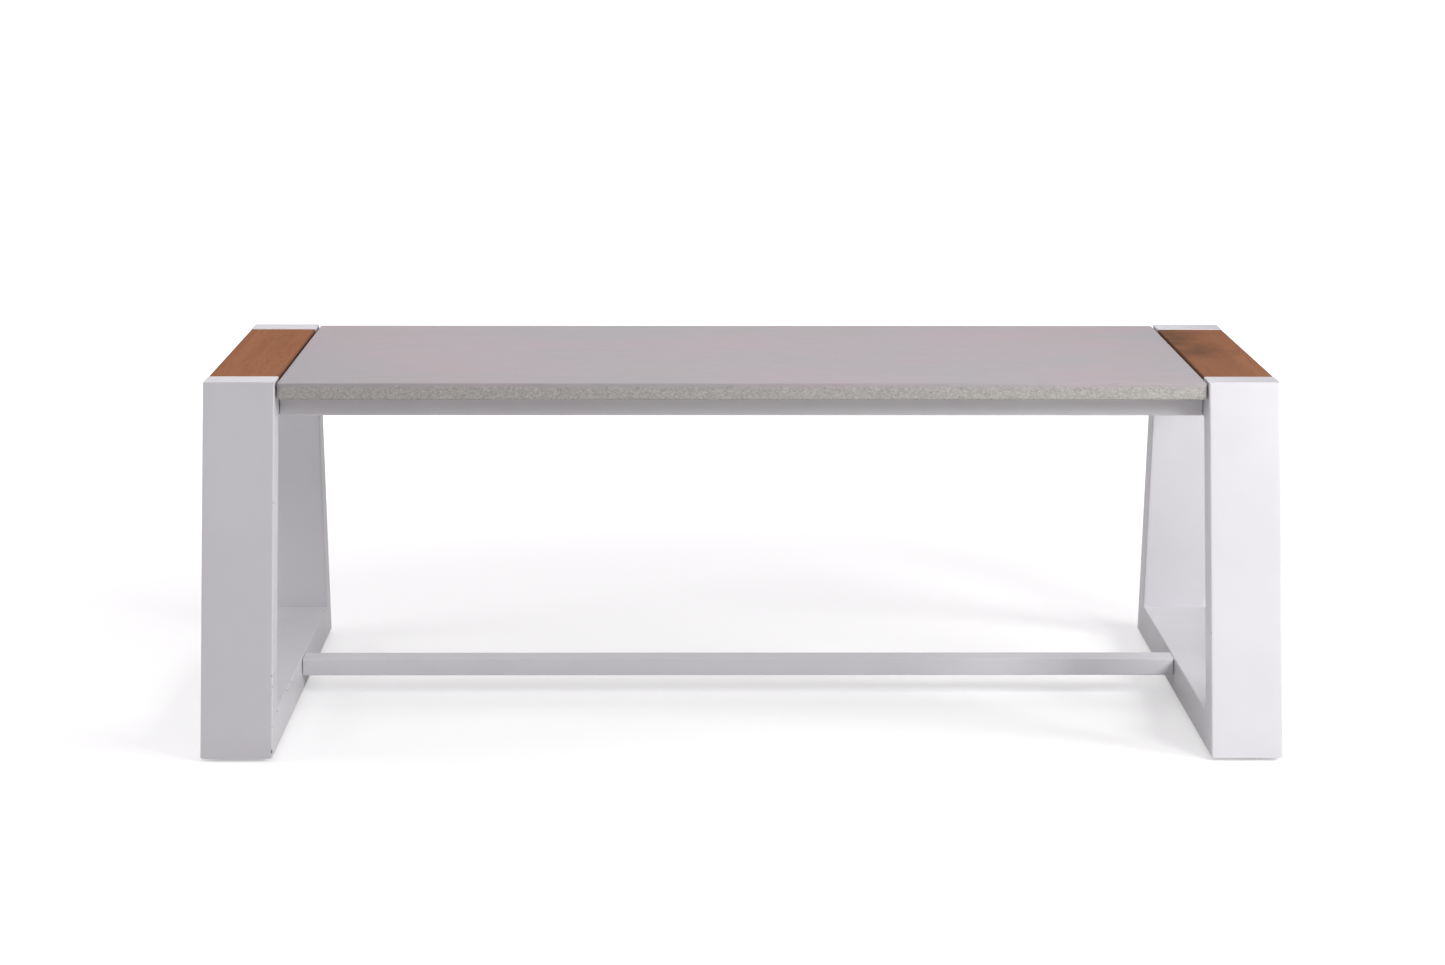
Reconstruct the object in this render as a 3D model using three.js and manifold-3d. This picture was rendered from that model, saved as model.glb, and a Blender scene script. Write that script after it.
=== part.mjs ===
// Garden bench: a stone seat slab between two welded box-section end frames with teak tops.
// Millimetres. +X runs along the bench, -Y is the front, +Z is up.
// The origin is on the floor, under the centre of the seat.
import * as THREE from 'three';
import { mergeVertices } from 'three/addons/utils/BufferGeometryUtils.js';
import Module from 'manifold-3d';

const wasm = await Module();
wasm.setup();

// ---------------------------------------------------------------- driving dimensions

// Overall
const LENGTH = 1310; // over the painted faces of both end frames
const HEIGHT = 450; // floor to the top of the end frames
const TOP_DEPTH = 500; // front to back over the legs, at the top
const FOOT_DEPTH = 680; // the same, at the underside of the bottom rail

// End frames, welded from box section
const FRAME_WIDTH = 87; // box section, along X
const BAR_DEPTH = 44; // box section, square to its own length
const FRAME_WALL = 2.5;
const FRAME_CORNER_R = 1.5;
const CAP_THICKNESS = 4; // plate that closes the top of a leg
const TOP_RAIL_DROP = 1.3; // underside of the top rail below the underside of the seat rails

// Seat rails, cross members and stretcher, all of one smaller box section
const RAIL_DEPTH = 36; // along Y
const RAIL_HEIGHT = 22; // along Z
const RAIL_WALL = 2;
const RAIL_CORNER_R = 1.5;
const RAIL_END_GAP = 1; // dark joint line between a rail end and the frame
const SEAT_RAIL_SETBACK = 43; // front of the legs' tops to the front seat rail
const CROSS_MEMBER_SPACING = 380; // between the centres of the two cross members

// Seat slab and its pads
const SLAB_THICKNESS = 21;
const SLAB_DROP = 1.5; // slab top below the top of the end frames
const SLAB_END_GAP = 2; // between the slab and each end frame
const SLAB_SETBACK = 1; // slab front and back inside the legs' tops
const SLAB_EASE = 4; // rounded edges
const PAD_SIZE = 30;
const PAD_THICKNESS = 4;
const PAD_END_INSET = 60; // end pads, from the frame to the pad's centre

// Teak boards
const TEAK_THICKNESS = 20;
const TEAK_DROP = 0.5; // teak top below the top of the end frames
const TEAK_END_GAP = 1; // to each leg
const TEAK_SIDE_INSET = 0.5; // inside the painted side faces
const TEAK_EASE = 1;
const TEAK_SCREW_PITCH = 145;
const TEAK_SCREW_D = 5;
const TEAK_SCREW_HEAD_D = 9;
const TEAK_SCREW_HEAD_H = 3;
const TEAK_SCREW_BITE = 13; // length in the teak
const DRIVER_HOLE_D = 12; // in the underside of the top rail

// Rail bolts, the blocks they screw into, and the plugs over the holes they go in by
const BOLT_D = 8;
const BOLT_HEAD_D = 13;
const BOLT_HEAD_H = 8;
const BOLT_SOCKET_AF = 6; // hexagon socket, across flats
const BOLT_SOCKET_DEPTH = 4;
const BOLT_TIP = 2; // bolt end past the block
const BLOCK_LENGTH = 14;
const ACCESS_HOLE_D = 16;
const PLUG_FLANGE_D = 18;
const PLUG_FLANGE_H = 1.5;
const PLUG_SHANK_LENGTH = 7;
const PLUG_WALL = 1.5;

// Glides under the bottom rails
const GLIDE_D = 38;
const GLIDE_HEIGHT = 4; // floor to the underside of the bottom rail
const GLIDE_INSET = 35; // foot corner to the glide's centre
const GLIDE_STEM_D = 8;
const GLIDE_BARB_D = 10;
const GLIDE_BARB_LENGTH = 6;

// Clearances
const FIT = 0.3; // between faces that touch
const HOLE_FIT = 0.3; // on the radius of a pin in its hole
const MARGIN = 20; // cutters reach this far past what they cut

// ---------------------------------------------------------------- derived sizes

const SPLAY = (FOOT_DEPTH - TOP_DEPTH) / 2 / (HEIGHT - GLIDE_HEIGHT); // leg run for each unit of rise
const SPLAY_ANGLE = Math.atan(SPLAY);
const LEG_RUN = BAR_DEPTH / Math.cos(SPLAY_ANGLE); // leg thickness measured level
const INSIDE_LENGTH = LENGTH - 2 * FRAME_WIDTH; // between the end frames

const RAIL_BOTTOM_Z = GLIDE_HEIGHT;
const RAIL_TOP_Z = RAIL_BOTTOM_Z + BAR_DEPTH;
const TEAK_TOP_Z = HEIGHT - TEAK_DROP;
const TEAK_BOTTOM_Z = TEAK_TOP_Z - TEAK_THICKNESS;
const TOP_RAIL_Z = TEAK_BOTTOM_Z - FIT; // top face of the top rail
const SLAB_TOP_Z = HEIGHT - SLAB_DROP;
const SLAB_BOTTOM_Z = SLAB_TOP_Z - SLAB_THICKNESS;
const SEAT_RAIL_Z = SLAB_BOTTOM_Z - PAD_THICKNESS - RAIL_HEIGHT / 2; // centre of a seat rail
const TOP_RAIL_DEPTH = TOP_RAIL_Z - (SEAT_RAIL_Z - RAIL_HEIGHT / 2 - TOP_RAIL_DROP); // along Z
const SEAT_RAIL_Y = TOP_DEPTH / 2 - SEAT_RAIL_SETBACK - RAIL_DEPTH / 2;
const STRETCHER_Z = RAIL_TOP_Z - RAIL_HEIGHT / 2; // its top is flush with the bottom rails
const LONG_RAIL_LENGTH = INSIDE_LENGTH - 2 * RAIL_END_GAP;
const GLIDE_Y = FOOT_DEPTH / 2 - GLIDE_INSET;
const TEAK_SCREW_YS = [-TEAK_SCREW_PITCH, 0, TEAK_SCREW_PITCH];

// Front leg in side view: its outer and inner lines at height z
const outerY = (z) => -(TOP_DEPTH / 2 + SPLAY * (HEIGHT - z));
const innerY = (z) => outerY(z) + LEG_RUN;

// ---------------------------------------------------------------- materials

const paint = { color: 0xe6e6ea, roughness: 0.35, metalness: 0.0 };
const steel = { color: 0xb4b6ba, roughness: 0.4, metalness: 1.0 };
const stone = { color: 0xb4b0b0, roughness: 0.75, metalness: 0.0 };
const teak = { color: 0x9c6448, roughness: 0.6, metalness: 0.0 };
const rubber = { color: 0x2a2a2c, roughness: 0.9, metalness: 0.0 };
const nylon = { color: 0x3a3a3c, roughness: 0.6, metalness: 0.0 };
const whitePlastic = { color: 0xe2e2e6, roughness: 0.5, metalness: 0.0 };

function part(name, geometry, look) {
  const mesh = new THREE.Mesh(geometry, new THREE.MeshStandardMaterial(look));
  mesh.name = name;
  return mesh;
}

// ---------------------------------------------------------------- joining and cutting

function toSolid(geometry) {
  const bare = geometry.clone();
  bare.deleteAttribute('normal');
  bare.deleteAttribute('uv');
  const merged = mergeVertices(bare, 1e-4);
  const vertProperties = new Float32Array(merged.attributes.position.array);
  const triVerts = new Uint32Array(merged.index.array);
  return new wasm.Manifold(new wasm.Mesh({ numProp: 3, vertProperties, triVerts }));
}

function toGeometry(solid) {
  const mesh = solid.getMesh();
  const geometry = new THREE.BufferGeometry();
  geometry.setAttribute('position', new THREE.BufferAttribute(mesh.vertProperties, 3));
  geometry.setIndex(new THREE.BufferAttribute(mesh.triVerts, 1));
  return geometry;
}

function cut(geometry, cutters) {
  return toGeometry(cutters.reduce((solid, c) => solid.subtract(toSolid(c)), toSolid(geometry)));
}

function trim(geometry, keep) {
  return toGeometry(toSolid(geometry).intersect(toSolid(keep)));
}

// ---------------------------------------------------------------- basic shapes

function roundedRect(width, height, radius, segments) {
  const shape = new THREE.Shape();
  const corners = [[1, 1], [-1, 1], [-1, -1], [1, -1]];
  corners.forEach(([sx, sy], quarter) => {
    const x = sx * (width / 2 - radius);
    const y = sy * (height / 2 - radius);
    for (let i = 0; i <= segments; i++) {
      const a = (quarter + i / segments) * Math.PI / 2;
      const px = x + radius * Math.cos(a);
      const py = y + radius * Math.sin(a);
      if (quarter === 0 && i === 0) shape.moveTo(px, py);
      else shape.lineTo(px, py);
    }
  });
  shape.closePath();
  return shape;
}

// Bar along Z, centred on the origin: width along X, depth along Y, hollow if it has a wall
function bar(width, depth, length, radius, wall = 0) {
  const shape = roundedRect(width, depth, radius, 3);
  if (wall > 0) {
    const inner = roundedRect(width - 2 * wall, depth - 2 * wall, radius / 2, 1);
    shape.holes.push(inner);
  }
  const geometry = new THREE.ExtrudeGeometry(shape, { depth: length, bevelEnabled: false });
  return geometry.translate(0, 0, -length / 2);
}

const alongX = (geometry) => geometry.rotateY(Math.PI / 2);
const alongY = (geometry) => geometry.rotateX(-Math.PI / 2);

// Prism with a side-view outline of [y, z] points, reaching across X, its side edges eased if asked
function sideProfile(points, width, ease = 0) {
  const shape = new THREE.Shape(points.map(([y, z]) => new THREE.Vector2(y, z)));
  const geometry = new THREE.ExtrudeGeometry(shape, {
    depth: width - 2 * ease,
    bevelEnabled: ease > 0,
    bevelThickness: ease,
    bevelSize: ease,
    bevelOffset: -ease,
    bevelSegments: 2,
  });
  const axes = new THREE.Matrix4().makeBasis(
    new THREE.Vector3(0, 1, 0), new THREE.Vector3(0, 0, 1), new THREE.Vector3(1, 0, 0));
  return geometry.translate(0, 0, ease - width / 2).applyMatrix4(axes);
}

// Turned piece about Z, from a closed outline of [radius, height] points
function turned(points, segments = 20) {
  const outline = points.map(([r, z]) => new THREE.Vector2(r, z));
  const geometry = new THREE.LatheGeometry(outline, segments);
  return geometry.rotateX(Math.PI / 2);
}

function hole(diameter, length, segments = 20) {
  return new THREE.CylinderGeometry(diameter / 2, diameter / 2, length, segments).rotateX(Math.PI / 2);
}

// ---------------------------------------------------------------- end frames

// These shapes are for the front, and for the right frame, whose outer face looks along +X.
// Half a turn about Z makes the back and the left ones.

// The mitre between leg and bottom rail, moved square to itself towards the leg
function mitreLine(offset) {
  const foot = new THREE.Vector2(outerY(RAIL_BOTTOM_Z), RAIL_BOTTOM_Z);
  const crotch = new THREE.Vector2(innerY(RAIL_TOP_Z), RAIL_TOP_Z);
  const along = crotch.clone().sub(foot).normalize();
  const across = new THREE.Vector2(-along.y, along.x).multiplyScalar(offset);
  foot.addScaledVector(along, -MARGIN).add(across);
  crotch.addScaledVector(along, MARGIN).add(across);
  return [foot.toArray(), crotch.toArray()];
}

function legBar(wall) {
  const middleZ = (RAIL_BOTTOM_Z + HEIGHT) / 2;
  const length = (HEIGHT + 2 * MARGIN) / Math.cos(SPLAY_ANGLE) + BAR_DEPTH;
  return bar(FRAME_WIDTH, BAR_DEPTH, length, FRAME_CORNER_R, wall)
    .rotateX(-SPLAY_ANGLE)
    .translate(0, outerY(middleZ) + LEG_RUN / 2, middleZ);
}

function legGeometry() {
  const topZ = HEIGHT - CAP_THICKNESS - FIT;
  const [foot, crotch] = mitreLine(FIT / 2);
  const outline = [foot, crotch, [innerY(topZ) + MARGIN, topZ], [foot[0], topZ]];
  return trim(legBar(FRAME_WALL), sideProfile(outline, FRAME_WIDTH + MARGIN));
}

function capGeometry() {
  const y0 = outerY(HEIGHT) - MARGIN;
  const y1 = innerY(HEIGHT) + MARGIN;
  const z0 = HEIGHT - CAP_THICKNESS;
  const outline = [[y0, z0], [y1, z0], [y1, HEIGHT], [y0, HEIGHT]];
  return trim(legBar(0), sideProfile(outline, FRAME_WIDTH + MARGIN));
}

// A level bar as wide as the frame, along Y, with its top face at topZ
function levelBar(topZ, depth) {
  return alongY(bar(FRAME_WIDTH, depth, FOOT_DEPTH + 2 * MARGIN, FRAME_CORNER_R, FRAME_WALL))
    .translate(0, 0, topZ - depth / 2);
}

// Holes for one rail bolt: a close one in the inner wall, a wide one in the outer wall
function boltHoles(y, z) {
  const wallX = (FRAME_WIDTH - FRAME_WALL) / 2;
  const close = hole(BOLT_D + 2 * HOLE_FIT, 3 * FRAME_WALL).rotateY(Math.PI / 2);
  const wide = hole(ACCESS_HOLE_D, 3 * FRAME_WALL).rotateY(Math.PI / 2);
  return [close.translate(-wallX, y, z), wide.translate(wallX, y, z)];
}

function bottomRailGeometry() {
  const ends = mitreLine(-FIT / 2);
  const mirrored = ends.map(([y, z]) => [-y, z]).reverse();
  const keep = sideProfile([...ends, ...mirrored], FRAME_WIDTH + MARGIN);
  const rail = trim(levelBar(RAIL_TOP_Z, BAR_DEPTH), keep);
  const stems = [-1, 1].map((end) => hole(GLIDE_STEM_D + 2 * HOLE_FIT, 3 * FRAME_WALL)
    .translate(0, end * GLIDE_Y, RAIL_BOTTOM_Z + FRAME_WALL / 2));
  return cut(rail, [...boltHoles(0, STRETCHER_Z), ...stems]);
}

function topRailGeometry() {
  const endGap = FIT / Math.cos(SPLAY_ANGLE);
  const z0 = TOP_RAIL_Z - TOP_RAIL_DEPTH - MARGIN;
  const z1 = TOP_RAIL_Z + MARGIN;
  const ends = [z1, z0].map((z) => [innerY(z) + endGap, z]);
  const mirrored = ends.map(([y, z]) => [-y, z]).reverse();
  const keep = sideProfile([...ends, ...mirrored], FRAME_WIDTH + MARGIN);
  const rail = trim(levelBar(TOP_RAIL_Z, TOP_RAIL_DEPTH), keep);
  const screws = TEAK_SCREW_YS.flatMap((y) => [
    hole(TEAK_SCREW_D + 2 * HOLE_FIT, 3 * FRAME_WALL).translate(0, y, TOP_RAIL_Z - FRAME_WALL / 2),
    hole(DRIVER_HOLE_D, 3 * FRAME_WALL).translate(0, y, TOP_RAIL_Z - TOP_RAIL_DEPTH + FRAME_WALL / 2),
  ]);
  const bolts = [-1, 1].flatMap((end) => boltHoles(end * SEAT_RAIL_Y, SEAT_RAIL_Z));
  return cut(rail, [...bolts, ...screws]);
}

function teakGeometry() {
  const ends = [TEAK_TOP_Z, TEAK_BOTTOM_Z].map((z) => [innerY(z) + TEAK_END_GAP, z]);
  const mirrored = ends.map(([y, z]) => [-y, z]).reverse();
  const width = FRAME_WIDTH - 2 * TEAK_SIDE_INSET;
  const board = sideProfile([...ends, ...mirrored], width, TEAK_EASE);
  const depth = TEAK_SCREW_BITE + FIT;
  const pilots = TEAK_SCREW_YS.map((y) => hole(TEAK_SCREW_D + 2 * HOLE_FIT, 2 * depth)
    .translate(0, y, TEAK_BOTTOM_Z));
  return cut(board, pilots);
}

function teakScrewGeometry() {
  const shank = FIT + FRAME_WALL + FIT + TEAK_SCREW_BITE;
  const r = TEAK_SCREW_D / 2;
  const head = TEAK_SCREW_HEAD_D / 2;
  return turned([
    [0, -TEAK_SCREW_HEAD_H], [head / 2, -TEAK_SCREW_HEAD_H], [head, -TEAK_SCREW_HEAD_H / 3], [head, 0],
    [r, 0], [r, shank - r], [0, shank],
  ], 12);
}

function glideGeometry() {
  const r = GLIDE_D / 2;
  const stem = GLIDE_STEM_D / 2;
  const top = GLIDE_HEIGHT - FIT;
  const barb = GLIDE_HEIGHT + FRAME_WALL + FIT;
  return turned([
    [0, 0], [r - 1, 0], [r, 1], [r, top], [stem, top], [stem, barb],
    [GLIDE_BARB_D / 2, barb], [stem / 2, barb + GLIDE_BARB_LENGTH], [0, barb + GLIDE_BARB_LENGTH],
  ], 28);
}

function endFrame(side) {
  const label = side < 0 ? 'left' : 'right';
  const frame = new THREE.Group();
  frame.position.x = side * (LENGTH - FRAME_WIDTH) / 2;

  const bars = new THREE.Group();
  bars.rotation.z = side < 0 ? Math.PI : 0;
  bars.add(part(`${label}_bottom_rail`, bottomRailGeometry(), paint));
  bars.add(part(`${label}_top_rail`, topRailGeometry(), paint));
  frame.add(bars);
  frame.add(part(`${label}_teak_board`, teakGeometry(), teak));

  for (const [end, endName] of [[-1, 'front'], [1, 'back']]) {
    const corner = new THREE.Group();
    corner.rotation.z = end < 0 ? 0 : Math.PI;
    corner.add(part(`${label}_${endName}_leg`, legGeometry(), paint));
    corner.add(part(`${label}_${endName}_leg_cap`, capGeometry(), paint));
    const glide = part(`${label}_${endName}_glide`, glideGeometry(), nylon);
    glide.position.y = -GLIDE_Y;
    corner.add(glide);
    frame.add(corner);
  }

  TEAK_SCREW_YS.forEach((y, i) => {
    const screw = part(`${label}_teak_screw_${['front', 'middle', 'back'][i]}`, teakScrewGeometry(), steel);
    screw.position.set(0, y, TOP_RAIL_Z - FRAME_WALL - FIT);
    frame.add(screw);
  });
  return frame;
}

// ---------------------------------------------------------------- rails and what bolts them on

function longRail(name, y, z) {
  const geometry = alongX(bar(RAIL_HEIGHT, RAIL_DEPTH, LONG_RAIL_LENGTH, RAIL_CORNER_R, RAIL_WALL));
  const rail = part(name, geometry, paint);
  rail.position.set(0, y, z);
  return rail;
}

function crossMember(name, x) {
  const length = 2 * (SEAT_RAIL_Y - RAIL_DEPTH / 2 - FIT);
  const member = part(name, alongY(bar(RAIL_DEPTH, RAIL_HEIGHT, length, RAIL_CORNER_R, RAIL_WALL)), paint);
  member.position.set(x, 0, SEAT_RAIL_Z);
  return member;
}

// These three lie along Z, with +Z pointing outwards through the end frame
function blockGeometry() {
  const inside = 2 * (RAIL_WALL + FIT);
  const block = bar(RAIL_HEIGHT - inside, RAIL_DEPTH - inside, BLOCK_LENGTH, RAIL_CORNER_R);
  return cut(block, [hole(BOLT_D + 2 * HOLE_FIT, BLOCK_LENGTH + MARGIN)]);
}

function boltGeometry() {
  const r = BOLT_D / 2;
  const head = BOLT_HEAD_D / 2;
  const shank = FIT + FRAME_WALL + RAIL_END_GAP + BLOCK_LENGTH + BOLT_TIP;
  const ease = 0.8;
  const bolt = turned([
    [0, -shank], [r - ease, -shank], [r, -shank + ease], [r, 0],
    [head, 0], [head, BOLT_HEAD_H - ease], [head - ease, BOLT_HEAD_H], [0, BOLT_HEAD_H],
  ], 18);
  const acrossCorners = BOLT_SOCKET_AF / Math.cos(Math.PI / 6);
  return cut(bolt, [hole(acrossCorners, 2 * BOLT_SOCKET_DEPTH, 6).translate(0, 0, BOLT_HEAD_H)]);
}

function plugGeometry() {
  const flange = PLUG_FLANGE_D / 2;
  const shank = ACCESS_HOLE_D / 2 - HOLE_FIT;
  const ease = 1;
  return turned([
    [0, 0], [shank - PLUG_WALL, 0], [shank - PLUG_WALL, -PLUG_SHANK_LENGTH], [shank, -PLUG_SHANK_LENGTH],
    [shank, 0], [flange, 0], [flange, PLUG_FLANGE_H - ease], [flange - ease, PLUG_FLANGE_H],
    [0, PLUG_FLANGE_H],
  ], 24);
}

// Block, bolt and plug at both ends of one long rail
function railFixings(name, y, z) {
  const fixings = new THREE.Group();
  for (const [side, sideName] of [[-1, 'left'], [1, 'right']]) {
    const end = new THREE.Group();
    end.position.set(0, y, z);
    end.rotation.y = side * Math.PI / 2;
    const block = part(`${name}_${sideName}_block`, blockGeometry(), steel);
    block.position.z = (LONG_RAIL_LENGTH - BLOCK_LENGTH) / 2;
    const bolt = part(`${name}_${sideName}_bolt`, boltGeometry(), steel);
    bolt.position.z = INSIDE_LENGTH / 2 + FRAME_WALL + FIT;
    const plug = part(`${name}_${sideName}_plug`, plugGeometry(), whitePlastic);
    plug.position.z = LENGTH / 2 + FIT;
    end.add(block, bolt, plug);
    fixings.add(end);
  }
  return fixings;
}

// ---------------------------------------------------------------- seat slab and pads

function slabGeometry() {
  const length = INSIDE_LENGTH - 2 * SLAB_END_GAP;
  const depth = TOP_DEPTH - 2 * SLAB_SETBACK;
  const shape = roundedRect(length - 2 * SLAB_EASE, depth - 2 * SLAB_EASE, SLAB_EASE / 2, 2);
  const geometry = new THREE.ExtrudeGeometry(shape, {
    depth: SLAB_THICKNESS - 2 * SLAB_EASE,
    bevelThickness: SLAB_EASE,
    bevelSize: SLAB_EASE,
    bevelSegments: 3,
  });
  return geometry.translate(0, 0, SLAB_EASE);
}

function padGeometry() {
  const shape = roundedRect(PAD_SIZE, PAD_SIZE, PAD_THICKNESS, 2);
  return new THREE.ExtrudeGeometry(shape, { depth: PAD_THICKNESS - 2 * FIT, bevelEnabled: false });
}

function seat() {
  const group = new THREE.Group();
  const slab = part('seat_slab', slabGeometry(), stone);
  slab.position.z = SLAB_BOTTOM_Z;
  group.add(slab);
  const endX = INSIDE_LENGTH / 2 - PAD_END_INSET;
  for (const [y, row] of [[-SEAT_RAIL_Y, 'front'], [SEAT_RAIL_Y, 'back']]) {
    for (const [x, place] of [[-endX, 'left'], [0, 'middle'], [endX, 'right']]) {
      const pad = part(`slab_pad_${row}_${place}`, padGeometry(), rubber);
      pad.position.set(x, y, SLAB_BOTTOM_Z - PAD_THICKNESS + FIT);
      group.add(pad);
    }
  }
  return group;
}

// ---------------------------------------------------------------- the bench

const bench = new THREE.Group();
bench.add(endFrame(-1), endFrame(1));
for (const [name, y, z] of [
  ['front_seat_rail', -SEAT_RAIL_Y, SEAT_RAIL_Z],
  ['back_seat_rail', SEAT_RAIL_Y, SEAT_RAIL_Z],
  ['stretcher', 0, STRETCHER_Z],
]) {
  bench.add(longRail(name, y, z), railFixings(name, y, z));
}
bench.add(crossMember('left_cross_member', -CROSS_MEMBER_SPACING / 2));
bench.add(crossMember('right_cross_member', CROSS_MEMBER_SPACING / 2));
bench.add(seat());

export default bench;
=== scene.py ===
# %% [markdown]
# # A garden bench in Blender
# The bench has two welded end frames of flat box section, painted white. A teak board is let into
# the top of each. A stone slab lies between them on two slim rails, and a low stretcher ties the
# feet together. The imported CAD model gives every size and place, so this lesson only makes the
# surfaces: soft corners, rough stone edges, wood grain and worn paint.

import math

import bpy
from mathutils import Matrix, Vector


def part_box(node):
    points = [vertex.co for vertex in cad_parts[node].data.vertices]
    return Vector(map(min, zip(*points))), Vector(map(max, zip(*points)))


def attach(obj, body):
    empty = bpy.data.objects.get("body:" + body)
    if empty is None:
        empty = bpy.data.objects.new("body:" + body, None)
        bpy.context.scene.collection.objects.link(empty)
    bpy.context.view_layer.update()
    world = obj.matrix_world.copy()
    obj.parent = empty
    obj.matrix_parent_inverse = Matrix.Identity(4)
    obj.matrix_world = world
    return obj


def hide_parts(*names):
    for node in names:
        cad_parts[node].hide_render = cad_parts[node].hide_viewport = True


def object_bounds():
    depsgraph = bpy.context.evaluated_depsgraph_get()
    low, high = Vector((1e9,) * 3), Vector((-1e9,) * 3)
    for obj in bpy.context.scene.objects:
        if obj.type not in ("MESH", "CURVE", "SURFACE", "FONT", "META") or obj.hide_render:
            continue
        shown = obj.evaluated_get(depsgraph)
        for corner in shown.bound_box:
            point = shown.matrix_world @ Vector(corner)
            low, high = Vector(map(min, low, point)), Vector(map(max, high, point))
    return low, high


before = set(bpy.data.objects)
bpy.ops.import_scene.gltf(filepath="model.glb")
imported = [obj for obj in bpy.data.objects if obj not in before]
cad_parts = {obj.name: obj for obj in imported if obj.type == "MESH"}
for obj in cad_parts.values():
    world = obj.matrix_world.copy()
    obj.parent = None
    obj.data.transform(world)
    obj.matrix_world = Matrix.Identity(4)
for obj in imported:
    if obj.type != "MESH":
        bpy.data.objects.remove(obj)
cad_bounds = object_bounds()
MM = 0.001
HAIR = MM / 100
NEAR = MM / 10
cad_box_mm = [[round(v / MM) for v in corner] for corner in cad_bounds]
print("CAD nodes:", len(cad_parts), "box in mm:", cad_box_mm)

# %% [markdown]
# ## Camera
# A long, low bench looks best from far away through a long lens, so that the end frames stay nearly
# parallel. The camera stands a little left of the middle at about chest height, and looks down by
# nine degrees. The lens is shifted a little, so the bench sits at mid height.

# %% Place the camera
CAMERA_PLACE = (-0.0651, -4.2572, 1.0901)
LENS_MM = 83.23
SENSOR_MM = 36.0
LOOK_DOWN = math.radians(9.036)
TURN_RIGHT = math.radians(0.583)
CAMERA_ROLL = math.radians(0.112)
LENS_SHIFT = -0.071

camera_data = bpy.data.cameras.new("camera")
camera_data.lens = LENS_MM
camera_data.sensor_width = SENSOR_MM
camera_data.shift_y = LENS_SHIFT
camera = bpy.data.objects.new("camera", camera_data)
bpy.context.scene.collection.objects.link(camera)
camera.matrix_world = (
    Matrix.Translation(CAMERA_PLACE)
    @ Matrix.Rotation(-TURN_RIGHT, 4, "Z")
    @ Matrix.Rotation(math.pi / 2 - LOOK_DOWN, 4, "X")
    @ Matrix.Rotation(CAMERA_ROLL, 4, "Z")
)
bpy.context.scene.camera = camera
print("camera at", CAMERA_PLACE, "lens", LENS_MM)

# %% [markdown]
# ## Working by hand, in code
# In the viewport you would click a face or an edge and then run a tool on it. Here a small test on
# each face or edge does the clicking. Everything is deselected first, because a tool acts on all
# that is selected, and the imported bench comes in selected.

# %% Helpers for picking and shaping
SELECT_KIND = {"VERT": "vertices", "EDGE": "edges", "FACE": "polygons"}
MOSTLY = 0.9  # how much of a direction has to point along an axis to count as that axis
CUT_TOLERANCE = 1e-6


def nothing_selected():
    if bpy.context.object and bpy.context.object.mode != "OBJECT":
        bpy.ops.object.mode_set(mode="OBJECT")
    bpy.ops.object.select_all(action="DESELECT")


def work_on(piece):
    """Makes one piece the only selected and the active object."""
    nothing_selected()
    piece.select_set(True)
    bpy.context.view_layer.objects.active = piece


def pick(piece, kind, test):
    """Goes into edit mode with only the faces, edges or corners that pass the test selected."""
    work_on(piece)
    mesh = piece.data
    for name in SELECT_KIND.values():
        parts = getattr(mesh, name)
        parts.foreach_set("select", [False] * len(parts))
    bpy.context.tool_settings.mesh_select_mode = [kind == k for k in SELECT_KIND]
    for part in getattr(mesh, SELECT_KIND[kind]):
        if kind == "EDGE":
            part.select = test(*(mesh.vertices[i].co for i in part.vertices))
        elif kind == "FACE":
            part.select = test(part.center, part.normal)
        else:
            part.select = test(part.co)
    bpy.ops.object.mode_set(mode="EDIT")


def done():
    bpy.ops.object.mode_set(mode="OBJECT")


def start_block(name, low, high):
    """A cube stretched to fill the box between two corners, with its place in its mesh."""
    low, high = Vector(low), Vector(high)
    nothing_selected()
    bpy.ops.mesh.primitive_cube_add(size=1, location=(low + high) / 2)
    block = bpy.context.object
    block.name = block.data.name = name
    block.scale = high - low
    bpy.ops.object.transform_apply(location=True, rotation=True, scale=True)
    return block


def runs_along(axis):
    """A test for edges that run mostly along one axis: 0, 1 or 2 for X, Y or Z."""
    return lambda a, b: abs((b - a).normalized()[axis]) > MOSTLY


def bevel_edges(piece, test, width, segments=3):
    pick(piece, "EDGE", test)
    bpy.ops.mesh.bevel(offset=width, segments=segments, affect="EDGES", clamp_overlap=True)
    done()


def saw(piece, place, normal):
    """Cuts with a plane and closes the cut. The side the normal points to is thrown away."""
    pick(piece, "VERT", lambda co: True)
    bpy.ops.mesh.bisect(
        plane_co=place, plane_no=normal, use_fill=True, clear_outer=True, threshold=CUT_TOLERANCE)
    done()


def score_line(piece, place, normal):
    """Adds a loop of edges where a plane passes through, and leaves the shape as it is."""
    pick(piece, "VERT", lambda co: True)
    bpy.ops.mesh.bisect(plane_co=place, plane_no=normal, threshold=CUT_TOLERANCE)
    done()


def carve(piece, *cutters):
    """Takes each cutter's shape out of the piece, then removes the cutter."""
    for cutter in cutters:
        work_on(piece)
        boolean = piece.modifiers.new("carve", "BOOLEAN")
        boolean.operation = "DIFFERENCE"
        boolean.solver = "EXACT"
        boolean.object = cutter
        bpy.ops.object.modifier_apply(modifier=boolean.name)
        bpy.data.objects.remove(cutter)
    return piece


def peg(radius, centre, axis, length, sides=32):
    """A round cutter along one axis."""
    turn = {0: (0, math.pi / 2, 0), 1: (math.pi / 2, 0, 0), 2: (0, 0, 0)}[axis]
    nothing_selected()
    bpy.ops.mesh.primitive_cylinder_add(
        vertices=sides, radius=radius, depth=length, location=centre, rotation=turn)
    bpy.ops.object.transform_apply(location=True, rotation=True, scale=True)
    return bpy.context.object


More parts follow.
